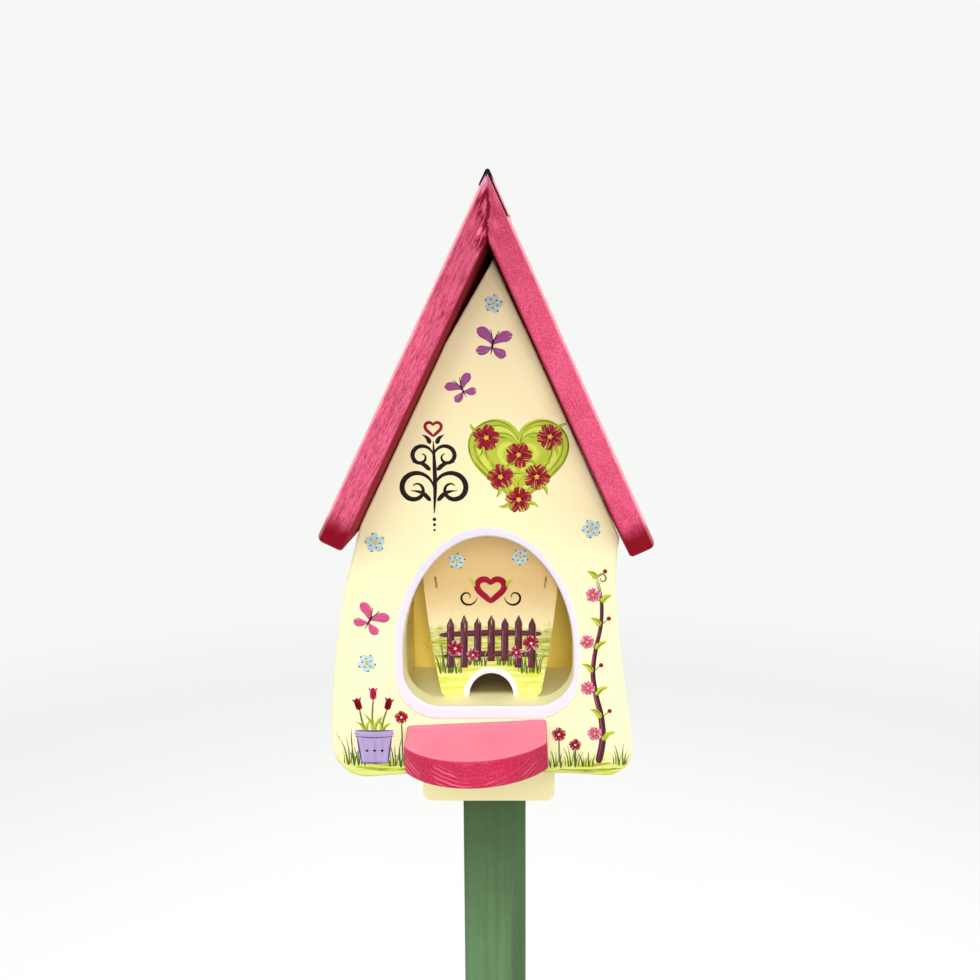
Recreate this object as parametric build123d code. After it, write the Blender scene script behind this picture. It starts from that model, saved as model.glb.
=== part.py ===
from build123d import *
import os
from math import cos, radians, sin, tan

# Painted wooden bird feeder: a gabled feeding house on a square garden post, in millimetres.
# The origin is the centre of the post's foot. +Z is up and the feeding opening faces -Y.
# The house is drawn in its own frame: x from its middle, y back from the front panel's face,
# z up from the front panel's right foot.

# Boards
board = 18.0
edge_round = 1.6

# Post and the block that holds it
post_width = 48.0
post_round = 6.0
post_showing = 1050.0
mortise_depth = 36.0
mortise_clearance = 0.25
block_width = 99.0
block_shift = -1.8
block_below_front = 26.5
block_round = 6.5

# House body
house_shift = -2.0
room_width = 127.0
room_depth = 66.0
floor_top = 55.3
front_overhang = 40.0
back_overhang = 40.0

# Roof
roof_board = 18.6
left_roof_angle = 25.9
right_roof_angle = 24.6
ridge_shift = 2.0
ridge_height = 422.5
left_roof_length = 262.8
right_roof_length = 265.0
roof_round = 2.6
eave_round = 4.5
strip_thickness = 2.2
strip_proud = 0.6
strip_left_leg = 11.5
strip_right_leg = 32.0
strip_round = 1.6

# Front panel
roof_gap = 0.8
tip_trim = 7.2
tip_shift = 2.2
trim_foot = 315.0
left_shoulder = 188.5
right_shoulder = 179.5
left_belly = 114.3
left_belly_middle = 109.0
left_middle_share = 0.55
right_flare = 106.6
right_waist_pull = (83.9, 130.0)
right_flare_pull = (101.8, 57.0)
left_corner_round = 25.0
right_corner_round = 20.0
bottom_rise = 5.0
left_corner_drop = 1.5

# Feeding opening
opening_width = 122.5
opening_shift = -1.0
arch_rise = 87.0
arch_springing = 93.4
opening_corner_round = 27.0

# Seed hopper
hopper_shift = 0.4
hopper_gap = 2.5
hopper_board = 10.0
hopper_foot_width = 73.0
hopper_middle_width = 88.6
hopper_middle_height = 45.5
hopper_top_width = 105.0
hopper_height = 170.0
hopper_corner_round = 5.0
notch_width = 33.0
notch_height = 17.8
cheek_foot_width = 69.0
cheek_top_width = 99.0
staple_length = 8.6
staple_wire = 1.4
staple_height = 87.0
staple_spacing = 79.8
staple_lean = 8.0

# Landing board
landing_width = 99.0
landing_reach = 64.5
landing_left_side = 36.0
landing_right_side = 39.5
landing_top = 43.2
landing_shift = -8.8
landing_tilt = 2.7
landing_thickness = 20.0
landing_left_splay = 1.6
landing_corner_round = 6.0
landing_edge_round = 2.2

# Worked out from the sizes above
roof_angle = {-1: radians(left_roof_angle), 1: radians(right_roof_angle)}
room_half = room_width / 2
wall_face = room_half + board
room_front = board
room_back = room_front + room_depth
back_face = room_back + board
floor_bottom = floor_top - board
roof_depth = front_overhang + back_face + back_overhang
house_middle = back_face / 2
house_lift = post_showing + block_below_front
house_place = Location((house_shift, -house_middle, house_lift))
near = 0.01


def slope_x(side, z, inset):
    """x at a height, on a line that lies inside a roof board's outer face. side is -1 left or 1 right."""
    angle = roof_angle[side]
    return ridge_shift + side * ((ridge_height - z) * tan(angle) - inset / cos(angle))


def underside(side, x):
    """Height of a roof board's underside above this x."""
    angle = roof_angle[side]
    return ridge_height - (side * (x - ridge_shift) + roof_board / cos(angle)) / tan(angle)


def down_slope(side, length, inset=0):
    """Point this far down a roof board from the ridge, inside its outer face by the inset."""
    angle = roof_angle[side]
    x = ridge_shift + side * (length * sin(angle) - inset * cos(angle))
    return (x, ridge_height - length * cos(angle) - inset * sin(angle))


def slopes_meet(left_inset, right_inset):
    """Where two lines meet that lie inside the roof's two outer faces by these distances."""
    across = left_inset / cos(roof_angle[-1]) + right_inset / cos(roof_angle[1])
    z = ridge_height - across / (tan(roof_angle[-1]) + tan(roof_angle[1]))
    return (slope_x(1, z, right_inset), z)


def upright(outline, front, depth):
    """Closed lines drawn as x and z, made a board that runs back from the depth named front."""
    plane = Plane((0, front, 0), x_dir=(1, 0, 0), z_dir=(0, -1, 0))
    return extrude(plane * make_face(outline), amount=-depth)


def front_edges(solid, front):
    """Edges that lie in the face at this depth."""
    return solid.edges().filter_by_position(Axis.Y, front - near, front + near)


def front_outline():
    """Gable with a trimmed tip, a bellied left side, a right side flared below a waist and a bowed foot."""
    inset = roof_board + roof_gap
    sharp = slopes_meet(inset, inset)
    tip = (sharp[0] + tip_shift, sharp[1] - tip_trim)
    right_brow = (slope_x(1, trim_foot, inset), trim_foot)
    left_brow = (slope_x(-1, trim_foot, inset), trim_foot)
    right_top = (slope_x(1, right_shoulder, inset), right_shoulder)
    left_top = (slope_x(-1, left_shoulder, inset), left_shoulder)
    right_foot = (right_flare, 0)
    left_foot = (-left_belly, -left_corner_drop)
    left_middle = (-left_belly_middle, left_shoulder * left_middle_share)
    return [
        Polyline(tip, right_brow, right_top),
        Bezier(right_top, right_waist_pull, right_flare_pull, right_foot),
        ThreePointArc(right_foot, (0, bottom_rise), left_foot),
        ThreePointArc(left_foot, left_middle, left_top),
        Polyline(left_top, left_brow, tip),
    ]


def opening_outline():
    """Half an ellipse over straight sides that stand on the level sill."""
    half = opening_width / 2
    left = opening_shift - half
    right = opening_shift + half
    arch = EllipticalCenterArc((opening_shift, arch_springing), half, arch_rise, start_angle=0, arc_size=180)
    sides = Polyline((left, arch_springing), (left, floor_top), (right, floor_top), (right, arch_springing))
    return [arch, sides]


def make_front_panel():
    """Front board with the arched opening, its foot corners and front edges rounded."""
    panel = upright(front_outline(), 0, board)
    corners = panel.edges().filter_by(Axis.Y).filter_by_position(Axis.Z, -left_corner_drop - near, near)
    panel = fillet(corners.sort_by(Axis.X)[:1], left_corner_round)
    corners = panel.edges().filter_by(Axis.Y).filter_by_position(Axis.Z, -near, near)
    panel = fillet(corners.sort_by(Axis.X)[-1:], right_corner_round)
    hole = upright(opening_outline(), 0, board)
    corners = hole.edges().filter_by(Axis.Y).filter_by_position(Axis.Z, floor_top - near, floor_top + near)
    panel -= fillet(corners, opening_corner_round)
    return fillet(front_edges(panel, 0), edge_round)


def make_back_panel():
    """Plain gabled board that closes the room and carries the roof."""
    outline = Polyline(
        (-wall_face, floor_bottom), (wall_face, floor_bottom), (wall_face, underside(1, wall_face)),
        slopes_meet(roof_board, roof_board), (-wall_face, underside(-1, -wall_face)), close=True,
    )
    return upright(outline, room_back, board)


def make_side_wall(side):
    """Upright board between front and back, cut to the roof's slope. side is -1 left or 1 right."""
    inner = side * room_half
    outer = side * wall_face
    outline = Polyline(
        (inner, floor_bottom), (outer, floor_bottom), (outer, underside(side, outer)),
        (inner, underside(side, inner)), close=True,
    )
    return upright(outline, room_front, room_depth)


def make_floor_board():
    """Feeding floor, level with the opening's sill."""
    outline = Polyline(
        (-room_half, floor_bottom), (room_half, floor_bottom), (room_half, floor_top),
        (-room_half, floor_top), close=True,
    )
    return upright(outline, room_front, room_depth)


def make_roof_board(side, length):
    """Roof board, mitred at the ridge and rounded at the eave. side is -1 left or 1 right."""
    ridge = (ridge_shift, ridge_height)
    inner_ridge = slopes_meet(roof_board, roof_board)
    eave = down_slope(side, length)
    inner_eave = down_slope(side, length, roof_board)
    outline = Polyline(ridge, eave, inner_eave, inner_ridge, close=True)
    slab = upright(outline, -front_overhang, roof_depth)
    long_edges = slab.edges().filter_by(Axis.Y)
    slab = fillet(long_edges.filter_by_position(Axis.X, eave[0] - near, eave[0] + near), eave_round)
    long_edges = slab.edges().filter_by(Axis.Y).sort_by(Axis.Z)
    mitre = sorted((ridge[0], inner_ridge[0]))
    mitre_edges = slab.edges().filter_by_position(Axis.X, mitre[0] - near, mitre[1] + near)
    slab = fillet(slab.edges() - long_edges[1:] - mitre_edges, roof_round)
    return slab - upright(strip_outline(), -front_overhang, roof_depth)


def strip_outline():
    """Weather strip bent over the ridge and let into the boards, with a longer leg on the right."""
    set_in = strip_thickness - strip_proud
    return Polyline(
        down_slope(-1, strip_left_leg, -strip_proud), slopes_meet(-strip_proud, -strip_proud),
        down_slope(1, strip_right_leg, -strip_proud), down_slope(1, strip_right_leg, set_in),
        slopes_meet(set_in, set_in), down_slope(-1, strip_left_leg, set_in), close=True,
    )


def make_ridge_strip():
    """Weather strip with its fold rounded off."""
    strip = upright(strip_outline(), -front_overhang, roof_depth)
    return fillet(strip.edges().filter_by(Axis.Y).sort_by(Axis.Z)[-1:], strip_round)


def make_landing_board():
    """Bow-fronted perch board on the front panel, fixed slightly out of level."""
    half = landing_width / 2
    left_corner = (-half, -landing_left_side)
    right_corner = (half, -landing_right_side)
    outline = [
        Polyline(left_corner, (-half - landing_left_splay, 0), (half, 0), right_corner),
        ThreePointArc(right_corner, (0, -landing_reach), left_corner),
    ]
    slab = extrude(make_face(outline), amount=-landing_thickness)
    joins = slab.edges().filter_by(Axis.Z).sort_by(Axis.Y)[:2]
    slab = fillet(joins, landing_corner_round)
    rims = slab.edges().filter_by(Plane.XY)
    back = rims.filter_by_position(Axis.Y, -near, near)
    slab = fillet(rims - back, landing_edge_round)
    return Location((landing_shift, 0, landing_top)) * Rotation(0, -landing_tilt, 0) * slab


def make_hopper_front():
    """Flared panel that holds the seed back, with a half-round notch at its foot."""
    low = hopper_foot_width / 2
    middle = hopper_middle_width / 2
    high = hopper_top_width / 2
    outline = [
        Line((-low, 0), (low, 0)),
        ThreePointArc((low, 0), (middle, hopper_middle_height), (high, hopper_height)),
        Line((high, hopper_height), (-high, hopper_height)),
        ThreePointArc((-high, hopper_height), (-middle, hopper_middle_height), (-low, 0)),
    ]
    front = room_front + hopper_gap
    panel = upright(outline, front, hopper_board)
    corners = panel.edges().filter_by(Axis.Y).filter_by_position(Axis.Z, -near, near)
    panel = fillet(corners, hopper_corner_round)
    half = notch_width / 2
    notch = [
        EllipticalCenterArc((0, 0), half, notch_height, start_angle=0, arc_size=180),
        Line((-half, 0), (half, 0)),
    ]
    panel -= upright(notch, front, hopper_board)
    return Location((hopper_shift, 0, floor_top)) * panel


def make_hopper_cheek(side):
    """Slanted side of the hopper, from its front panel to the back panel. side is -1 left or 1 right."""
    low = cheek_foot_width / 2
    high = cheek_top_width / 2
    outline = Polyline(
        (side * low, 0), (side * high, hopper_height), (side * (high - hopper_board), hopper_height),
        (side * (low - hopper_board), 0), close=True,
    )
    front = room_front + hopper_gap + hopper_board
    return Location((hopper_shift, 0, floor_top)) * upright(outline, front, room_back - front)


def make_hopper_staple(side):
    """Wire crown that fixes the hopper's front to a cheek. side is -1 left or 1 right."""
    wire = extrude(SlotOverall(staple_length, staple_wire), amount=staple_wire / 2)
    lean = Rotation(0, side * staple_lean, 0) * Rotation(90, 0, 0) * Rotation(0, 0, 90)
    x = hopper_shift + side * staple_spacing / 2
    return Location((x, room_front + hopper_gap, floor_top + staple_height)) * lean * wire


def make_mounting_block():
    """Block under the floor, with a square mortise for the post."""
    height = floor_bottom + block_below_front
    middle_z = floor_bottom - height / 2
    block = Location((block_shift, house_middle, middle_z)) * Box(block_width, room_depth, height)
    lower = block.edges().filter_by(Axis.Y).sort_by(Axis.Z)[:2]
    block = fillet(lower, block_round)
    side = post_width + 2 * mortise_clearance
    mortise = Location((-house_shift, house_middle, mortise_depth / 2 - block_below_front))
    return block - mortise * Box(side, side, mortise_depth)


def make_post():
    """Square post with rounded arrises, from the ground to the top of its mortise."""
    length = post_showing + mortise_depth
    section = RectangleRounded(post_width, post_width, post_round)
    return extrude(section, amount=length)


def house_parts():
    """Every piece of the house by name, in the house's own frame."""
    return {
        "front_panel": make_front_panel(),
        "back_panel": make_back_panel(),
        "left_wall": make_side_wall(-1),
        "right_wall": make_side_wall(1),
        "floor_board": make_floor_board(),
        "left_roof_board": make_roof_board(-1, left_roof_length),
        "right_roof_board": make_roof_board(1, right_roof_length),
        "ridge_strip": make_ridge_strip(),
        "landing_board": make_landing_board(),
        "hopper_front": make_hopper_front(),
        "hopper_left_cheek": make_hopper_cheek(-1),
        "hopper_right_cheek": make_hopper_cheek(1),
        "hopper_left_staple": make_hopper_staple(-1),
        "hopper_right_staple": make_hopper_staple(1),
        "mounting_block": make_mounting_block(),
    }


os.makedirs("parts", exist_ok=True)
for name, solid in house_parts().items():
    export_step(house_place * solid, "parts/" + name + ".step")
export_step(make_post(), "parts/post.step")
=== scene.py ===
import math

import bpy
import numpy as np
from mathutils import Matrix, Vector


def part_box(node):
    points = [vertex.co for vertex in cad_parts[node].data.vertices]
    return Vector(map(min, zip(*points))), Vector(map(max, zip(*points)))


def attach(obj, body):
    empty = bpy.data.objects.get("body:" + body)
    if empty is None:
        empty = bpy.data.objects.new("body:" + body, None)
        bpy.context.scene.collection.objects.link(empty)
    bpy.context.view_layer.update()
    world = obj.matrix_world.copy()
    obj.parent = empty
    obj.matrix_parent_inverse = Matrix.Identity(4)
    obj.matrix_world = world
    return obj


# Painted bird feeder house on a post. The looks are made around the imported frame, in metres.
# Brushwork is drawn in house millimetres: x from the room's middle, z up from the front panel's foot.

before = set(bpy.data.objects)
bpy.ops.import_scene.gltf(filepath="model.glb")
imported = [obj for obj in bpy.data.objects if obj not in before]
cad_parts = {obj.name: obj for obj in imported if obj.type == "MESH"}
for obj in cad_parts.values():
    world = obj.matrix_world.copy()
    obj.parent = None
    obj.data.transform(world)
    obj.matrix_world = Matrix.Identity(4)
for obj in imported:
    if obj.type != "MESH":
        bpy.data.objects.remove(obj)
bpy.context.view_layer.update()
MM = 0.001

# Places read from the frame, and the house's own measures
SILL = 55.3
FACE_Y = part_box("front_panel")[0].y
HOPPER_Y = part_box("hopper_front")[0].y
HOUSE_X = (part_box("left_wall")[1].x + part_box("right_wall")[0].x) / 2
HOUSE_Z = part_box("floor_board")[1].z - SILL * MM
RIDGE_X = HOUSE_X + 2.0 * MM
RIDGE = (RIDGE_X, 0.0, HOUSE_Z + 422.5 * MM)
ROOF_FRONT, ROOF_BACK = (corner.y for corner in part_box("left_roof_board"))
LEFT_SLOPE = math.radians(25.9)
RIGHT_SLOPE = math.radians(24.6)
LEFT_ROOF_LENGTH = 262.8 * MM
RIGHT_ROOF_LENGTH = 265.0 * MM
MITRE_LEAN = math.radians(-0.7)
ROOM_HALF = 63.5 * MM
ROOM_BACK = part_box("back_panel")[0].y
LANDING_LOW, LANDING_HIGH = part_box("landing_board")
LANDING_TILT = math.radians(2.7)
QUARTER = math.pi / 2

# The opening's outline in the front panel and the notch's in the hopper
OPENING_X = -1.0
OPENING_HALF = 61.25
SPRINGING = 93.4
ARCH_RISE = 87.0
SILL_CORNER = 27.0
FRONT_ROUND = 1.6
HOPPER_X = 0.4
NOTCH_HALF = 16.5
NOTCH_RISE = 17.8
NOTCH_ROUND = 0.3

# Directions
UP, DOWN = (0, 0, 1), (0, 0, -1)
RIGHT, LEFT = (1, 0, 0), (-1, 0, 0)
BACKWARD, FORWARD = (0, 1, 0), (0, -1, 0)


def screen(red, green, blue):
    """Linear colour of a colour read on a screen, 0 to 255."""
    share = np.array([red, green, blue]) / 255
    linear = np.where(share <= 0.04045, share / 12.92, ((share + 0.055) / 1.055) ** 2.4)
    return (*linear.tolist(), 1.0)


# Paints
CREAM = screen(255, 250, 202)
CREAM_WARM = screen(254, 244, 190)
CREAM_PALE = screen(255, 252, 214)
# Painted shade of the perch board over the mounting block
CREAM_UNDER_LANDING_SHADE = screen(252, 230, 164)
# Painted reflection: peach cast of the red roof on the cream gable
CREAM_PEACH_ROOF_REFLECTION = screen(255, 238, 188)
# Painted shade of the arch on the hopper's top
HOPPER_ARCH_SHADE = screen(216, 184, 122)
FLOOR_BROWN = screen(150, 122, 70)
# Painted light: yellow bounce light inside the room
ROOM_BOUNCE_YELLOW = screen(255, 226, 98)
GREEN_WASH = screen(214, 224, 74)
MEADOW = screen(136, 152, 40)
BORDER_WHITE = screen(235, 232, 243)
BORDER_LILAC = screen(222, 217, 238)
ROOF_RED = screen(206, 57, 96)
ROOF_DEEP = screen(140, 10, 44)
ROOF_PALE = screen(248, 122, 158)
# Painted highlight of light on the rounded arrises, partly worn paint
ROOF_ARRIS_HIGHLIGHT = screen(246, 170, 182)
ROOF_PEELED = screen(226, 150, 190)
ROOF_END = screen(132, 4, 28)
# Painted shade on the roof boards' undersides
ROOF_UNDERSIDE_SHADE = screen(158, 40, 54)
MITRE_RED = screen(116, 2, 34)
LANDING_RED = screen(206, 36, 78)
LANDING_DEEP = screen(164, 26, 56)
# Painted light: the perch board's top made paler
LANDING_TOP_PAINTED_LIGHT = screen(255, 130, 162)
POST_GREEN = screen(100, 136, 92)
POST_DEEP = screen(72, 100, 66)
POST_PALE = screen(118, 156, 110)
POST_DARK = screen(58, 80, 46)
STAPLE_PALE = screen(182, 146, 88)
STAPLE_RUST = screen(130, 90, 46)
STRIP_BLACK = screen(20, 12, 12)
STRIP_DUSTY = screen(52, 40, 36)
STRIP_STAINED = screen(86, 18, 32)
BLOSSOM = screen(158, 22, 50)
BLOSSOM_DEEP = screen(100, 8, 30)
ROSE_PINK = screen(214, 92, 140)
LEAF = screen(196, 210, 66)
LEAF_BRIGHT = screen(222, 230, 98)
LEAF_DEEP = screen(112, 136, 50)
GRASS = screen(88, 112, 48)
INK = screen(34, 26, 30)
SKY_BLUE = screen(198, 224, 226)
INK_BLUE = screen(48, 58, 72)
LILAC = screen(190, 172, 220)
LILAC_DEEP = screen(92, 70, 118)
MAUVE = screen(168, 84, 150)
BARK = screen(102, 52, 64)
BARK_DEEP = screen(66, 34, 42)
YOLK = screen(236, 196, 70)

# Petal, vein and eye of a rosette
RED_ROSETTE = (BLOSSOM, BLOSSOM_DEEP, YOLK)
PINK_ROSETTE = (ROSE_PINK, BLOSSOM, YOLK)
POPPY = (BLOSSOM, BLOSSOM_DEEP, BORDER_WHITE)


class Wires:
    """Adds nodes to one node tree and wires them."""

    def __init__(self, tree):
        self.tree = tree

    def add(self, kind, inputs=None, **settings):
        """A node of this kind, with its settings and what feeds its inputs, by name or number."""
        node = self.tree.nodes.new("ShaderNode" + kind)
        for key, value in settings.items():
            setattr(node, key, value)
        for key, value in (inputs or {}).items():
            self.feed(node.inputs[key], value)
        return node

    def feed(self, socket, value):
        """Wires a socket to a socket, or sets its value."""
        if isinstance(value, bpy.types.NodeSocket):
            self.tree.links.new(value, socket)
        else:
            socket.default_value = value

    def sums(self, operation, *values, clamp=False):
        """Result of a maths node."""
        return self.add("Math", dict(enumerate(values)), operation=operation, use_clamp=clamp).outputs[0]

    def times(self, value, *factors):
        """Value times every factor."""
        for factor in factors:
            value = self.sums("MULTIPLY", value, factor)
        return value

    def times_plus(self, value, factor, extra, clamp=False):
        """Value times a factor, plus an extra."""
        return self.sums("MULTIPLY_ADD", value, factor, extra, clamp=clamp)

    def distance(self, value, middle):
        """How far a value is from another, to either side."""
        return self.sums("ABSOLUTE", self.sums("SUBTRACT", value, middle))

    def vector(self, operation, *values, result="Vector"):
        """Result of a vector maths node."""
        return self.add("VectorMath", dict(enumerate(values)), operation=operation).outputs[result]

    def parts(self, vector):
        """The x, y and z of a vector."""
        return self.add("SeparateXYZ", {0: vector}).outputs

    def joined(self, *values):
        """Vector made of up to three values."""
        return self.add("CombineXYZ", dict(enumerate(values))).outputs[0]

    def noise(self, vector, scale=1.0, detail=3.0, roughness=0.55):
        """Smooth noise from 0 to 1 about a half."""
        inputs = {"Vector": vector, "Scale": scale, "Detail": detail, "Roughness": roughness}
        return self.add("TexNoise", inputs).outputs["Fac"]

    def remap(self, value, low, high, to_low=0.0, to_high=1.0):
        """Value brought smoothly from one range to another, and held at its ends."""
        inputs = {"Value": value, "From Min": low, "From Max": high, "To Min": to_low, "To Max": to_high}
        return self.add("MapRange", inputs, interpolation_type="SMOOTHSTEP").outputs["Result"]

    def spread(self, share, low, high):
        """Value between two levels for a share from 0 to 1."""
        return self.remap(share, 0.0, 1.0, low, high)

    def mix(self, factor, first, second, blend="MIX"):
        """Colour between two colours."""
        node = self.add("Mix", {0: factor, 6: first, 7: second}, data_type="RGBA", blend_type=blend)
        return node.outputs[2]

    def layers(self, colour, *coats):
        """Colour under coats of paint, the lowest first. A coat is its paint, then its masks and shares."""
        for paint, *masks in coats:
            colour = self.mix(self.times(*masks), colour, paint)
        return colour

    def group(self, shared, **inputs):
        """Outputs of a shared node group placed here. Its inputs are given in small letters."""
        node = self.add("Group")
        node.node_tree = shared
        for key, value in inputs.items():
            self.feed(node.inputs[key.capitalize()], value)
        return node.outputs

    def band(self, vector, direction, start, end, ragged=0.0):
        """Mask that rises from 0 to 1 between two distances along a direction."""
        span = {"start": start, "end": end, "ragged": ragged}
        return self.group(BAND, vector=vector, direction=direction, **span)["Mask"]


def shared_group(draw, vectors, values):
    """Node group named after the function that draws it, with these named inputs. The function takes the
    group's wires and inputs, and gives its outputs by name."""
    group = bpy.data.node_groups.new(draw.__name__, "ShaderNodeTree")
    for socket in vectors:
        group.interface.new_socket(socket, in_out="INPUT", socket_type="NodeSocketVector")
    for socket in values:
        group.interface.new_socket(socket, in_out="INPUT", socket_type="NodeSocketFloat")
    wires = Wires(group)
    results = draw(wires, group.nodes.new("NodeGroupInput").outputs)
    for socket in results:
        group.interface.new_socket(socket, in_out="OUTPUT", socket_type="NodeSocketFloat")
    out = group.nodes.new("NodeGroupOutput").inputs
    for socket, value in results.items():
        wires.feed(out[socket], value)
    return group


def wood_grain(wires, given):
    """Fibres drawn out along z: noise on a vector that is squeezed along the grain, coarse and fine."""
    along = wires.sums("DIVIDE", given["Scale"], given["Stretch"])
    squeeze = wires.joined(given["Scale"], given["Scale"], along)
    grain = wires.vector("MULTIPLY", given["Vector"], squeeze)
    coarse = wires.noise(grain, 1.0, 4.0, 0.6)
    fine = wires.noise(grain, 3.1, 3.0, 0.6)
    streaks, fibres = wires.remap(coarse, 0.36, 0.64), wires.remap(fine, 0.34, 0.66)
    height = wires.times_plus(coarse, 0.8, wires.times(fine, 0.5))
    return {"Streaks": streaks, "Fibres": fibres, "Height": height}


def paint_film(wires, given):
    """Hand-laid paint: slow mottle and fine orange peel."""
    mottle = wires.noise(given["Vector"], given["Patch"], 4.0, 0.5)
    peel = wires.noise(given["Vector"], given["Peel"], 2.0, 0.5)
    return {"Mottle": wires.remap(mottle, 0.3, 0.7), "Speckle": wires.remap(peel, 0.4, 0.66), "Height": peel}


def growth_rings(wires, given):
    """Year rings about an axis along y: a wave of the distance from it, bent by noise."""
    x, _, z = wires.parts(given["Vector"])
    radius = wires.vector("LENGTH", wires.joined(x, 0.0, z), result="Value")
    bend = wires.noise(given["Vector"], 45.0, 2.0)
    turns = wires.sums("DIVIDE", wires.times_plus(bend, given["Wobble"], radius), given["Spacing"])
    uneven = wires.noise(wires.joined(turns), 0.7, 2.0)
    wave = wires.sums("SINE", wires.times(wires.times_plus(uneven, 1.6, turns), math.tau))
    return {"Rings": wires.remap(wave, -0.9, 0.9)}


def ragged_band(wires, given):
    """Mask that rises from 0 to 1 between two distances along a direction, with a ragged brushed edge."""
    reach = wires.vector("DOT_PRODUCT", given["Vector"], given["Direction"], result="Value")
    rag = wires.sums("SUBTRACT", wires.noise(given["Vector"], 160.0, 3.0), 0.5)
    ragged = wires.times_plus(rag, given["Ragged"], reach)
    return {"Mask": wires.remap(ragged, given["Start"], given["End"])}


def bristles(wires, given):
    """Streaks that a brush's bristles leave: noise drawn out along the stroke and moved by its seed."""
    slow = wires.times(given["Along"], 0.09)
    fast = wires.times(given["Across"], 1.25)
    place = wires.joined(slow, fast, wires.times(given["Seed"], 7.3))
    return {"Streaks": wires.noise(place, 1.0, 3.0, 0.65), "Pooling": wires.noise(place, 0.45, 2.0, 0.5)}


WOOD_GRAIN = shared_group(wood_grain, ["Vector"], ["Scale", "Stretch"])
PAINT_FILM = shared_group(paint_film, ["Vector"], ["Patch", "Peel"])
GROWTH_RINGS = shared_group(growth_rings, ["Vector"], ["Spacing", "Wobble"])
BAND = shared_group(ragged_band, ["Vector", "Direction"], ["Start", "End", "Ragged"])
BRISTLES = shared_group(bristles, [], ["Along", "Across", "Seed"])


class Finish(Wires):
    """A new material's wires, its shader's inputs and the object's own coordinates. shine is the paint's
    specular level: a half is plain gloss paint, and chalky paint has less."""

    def __init__(self, name, shine=0.2):
        self.material = bpy.data.materials.new(name)
        self.material.use_nodes = True
        super().__init__(self.material.node_tree)
        self.shader = self.tree.nodes["Principled BSDF"].inputs
        self.shader["Specular IOR Level"].default_value = shine
        self.place = self.add("TexCoord").outputs["Object"]

    def turned(self, turn, zero=(0.0, 0.0, 0.0)):
        """The object's coordinates turned about y, then moved so that this place reads nought."""
        x = zero[0] * math.cos(turn) + zero[2] * math.sin(turn)
        z = zero[2] * math.cos(turn) - zero[0] * math.sin(turn)
        inputs = {"Vector": self.place, "Rotation": (0.0, turn, 0.0), "Location": (-x, -zero[1], -z)}
        return self.add("Mapping", inputs).outputs[0]

    def height_band(self, start, end, ragged):
        """Mask from 0 to 1 between two heights in house millimetres, rising or falling."""
        way = 1 if end > start else -1
        low, high = (way * (HOUSE_Z + height * MM) for height in (start, end))
        return self.band(self.place, (0, 0, way), low, high, ragged * MM)

    def facing_up(self):
        """How far the surface faces up, from -1 to 1."""
        return self.parts(self.add("NewGeometry").outputs["Normal"])[2]

    def grain(self, vector, scale, stretch):
        """Wood grain along z of these coordinates."""
        return self.group(WOOD_GRAIN, vector=vector, scale=scale, stretch=stretch)

    def film(self, vector, patch, peel):
        """Mottle and orange peel of hand-laid paint."""
        return self.group(PAINT_FILM, vector=vector, patch=patch, peel=peel)

    def bristles(self, seed):
        """Place along and across a stroke, and the marks of the bristles there."""
        run = self.parts(self.add("UVMap", uv_map="stroke").outputs[0])
        return run, self.group(BRISTLES, along=run[0], across=run[1], seed=seed)

    def cream(self, vector):
        """Colour, height and gloss of cream paint over softwood with its grain along z."""
        film = self.film(vector, patch=34.0, peel=620.0)
        grain = self.grain(vector, scale=260.0, stretch=14.0)
        warm = (CREAM_WARM, film["Mottle"], 0.4)
        pale = (CREAM_PALE, grain["Streaks"], 0.22)
        height = self.times_plus(grain["Height"], 0.7, film["Height"])
        return self.layers(CREAM, warm, pale), height, self.spread(film["Mottle"], 0.36, 0.5)

    def finish(self, colour, roughness, height, depth):
        """Feeds the shader, with a bump of this depth in metres, and gives the material."""
        self.feed(self.shader["Base Color"], colour)
        self.feed(self.shader["Roughness"], roughness)
        bump = self.add("Bump", {"Height": height, "Distance": depth, "Strength": 1.0})
        self.feed(self.shader["Normal"], bump.outputs["Normal"])
        return self.material


def block_material():
    """Satin cream paint, darkened evenly by painted shade of the perch board above."""
    wires = Finish("block_cream")
    colour, height, gloss = wires.cream(wires.turned(QUARTER))
    # Painted shade: the whole block is darkened as if under the perch board
    return wires.finish(wires.layers(colour, (CREAM_UNDER_LANDING_SHADE, 0.4)), gloss, height, depth=0.12 * MM)


def room_material():
    """Cream outside, and on the faces that look into the room a painted yellow of bounce light that deepens
    towards its back as painted shade.
    """
    wires = Finish("room_cream")
    colour, height, gloss = wires.cream(wires.place)
    x, y, _ = wires.parts(wires.place)
    within = wires.remap(wires.distance(x, HOUSE_X), ROOM_HALF + 2 * MM, ROOM_HALF + 5 * MM, 1.0, 0.0)
    before_back = wires.remap(y, ROOM_BACK + 2 * MM, ROOM_BACK + 5 * MM, 1.0, 0.0)
    # Painted shade: the painted bounce yellow deepens towards the room's back
    deep = wires.remap(y, ROOM_BACK - 26 * MM, ROOM_BACK - 2 * MM, 0.12, 1.0)
    colour = wires.layers(colour, (ROOM_BOUNCE_YELLOW, within, before_back, deep, 0.9))
    return wires.finish(colour, gloss, height, depth=0.12 * MM)


def floor_material():
    """Cream floor, browned under the hopper behind its front."""
    wires = Finish("floor_cream")
    colour, height, gloss = wires.cream(wires.turned(QUARTER))
    x, y, _ = wires.parts(wires.place)
    sideways = wires.distance(x, HOUSE_X + HOPPER_X * MM)
    under = wires.remap(sideways, (NOTCH_HALF + 2) * MM, (NOTCH_HALF + 8) * MM, 1.0, 0.0)
    behind = wires.remap(y, HOPPER_Y + 2 * MM, HOPPER_Y + 12 * MM)
    # Browner under the hopper, behind its front
    colour = wires.layers(colour, (FLOOR_BROWN, under, behind, 0.85))
    return wires.finish(colour, gloss, height, depth=0.12 * MM)


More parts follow.
